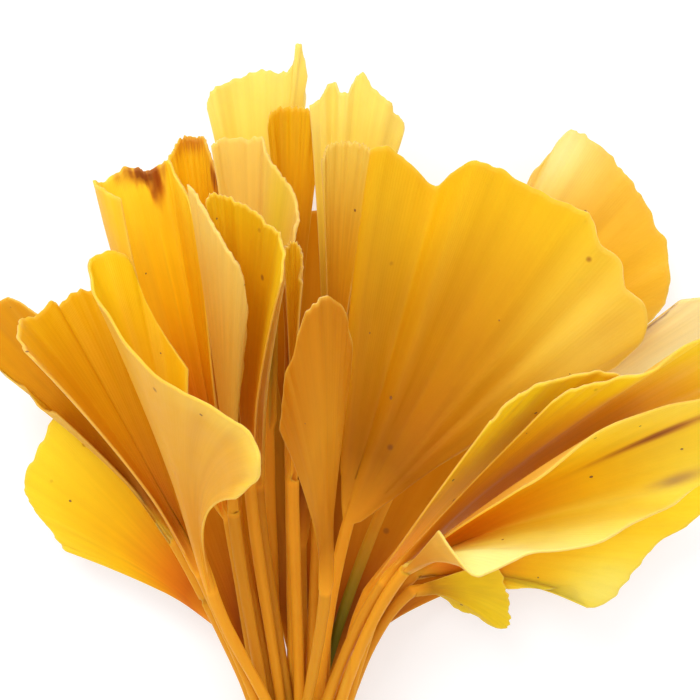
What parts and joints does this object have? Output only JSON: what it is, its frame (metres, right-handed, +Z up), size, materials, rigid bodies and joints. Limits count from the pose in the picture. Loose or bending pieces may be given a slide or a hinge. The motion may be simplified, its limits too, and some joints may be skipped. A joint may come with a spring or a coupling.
{
  "type": "dried ginkgo leaf bunch",
  "caption": "A bunch of dried golden ginkgo leaves, cupped and curled, their long stalks gathered and tied with thin twine, lying on a surface.",
  "frame": {"origin": "middle of the underside of the bunch's box, on the surface that it lies on", "axes": "+Y from the cut stalk ends towards the leaves, the longest way; +X across the fan of leaves, to the right as seen from above with the stalks nearest; +Z up from the surface, the shortest way"},
  "size_m": [0.117, 0.1274, 0.0663],
  "materials": {
    "golden": "dry leaf, satin, fine fanned veins",
    "pale": "dry leaf, pale yellow, satin, fine fanned veins",
    "tan": "dry leaf seen from its back, peach tan, satin",
    "amber": "dry leaf, deep amber, satin",
    "twine": "twisted plant-fibre twine"
  },
  "bodies": {
    "root": {"leaf_under_left": "amber", "leaf_under_low": "amber", "leaf_under_middle": "amber", "leaf_under_right": "amber", "leaf_under_centre": "amber", "leaf_left_bright": "golden", "leaf_right_back": "pale", "leaf_low_back": "pale", "leaf_top_pale": "pale", "leaf_left_back": "golden", "leaf_low_olive": "golden", "leaf_top_golden": "amber", "leaf_upper_left_middle": "golden", "leaf_top_right": "pale", "leaf_cream_lobe": "pale", "leaf_upper_left": "golden", "leaf_upper_middle": "pale", "leaf_middle_right": "amber", "leaf_middle_narrow": "golden", "leaf_inner_left": "amber", "leaf_rolled_tan": "tan", "leaf_big_fan": "golden", "leaf_left_rolled": "golden", "leaf_lower_golden": "golden", "leaf_lower_cup": "amber", "leaf_lower_bright": "golden", "leaf_calla": "tan", "leaf_front_small": "golden", "stalk_tie": "twine"}
  },
  "joints": []
}
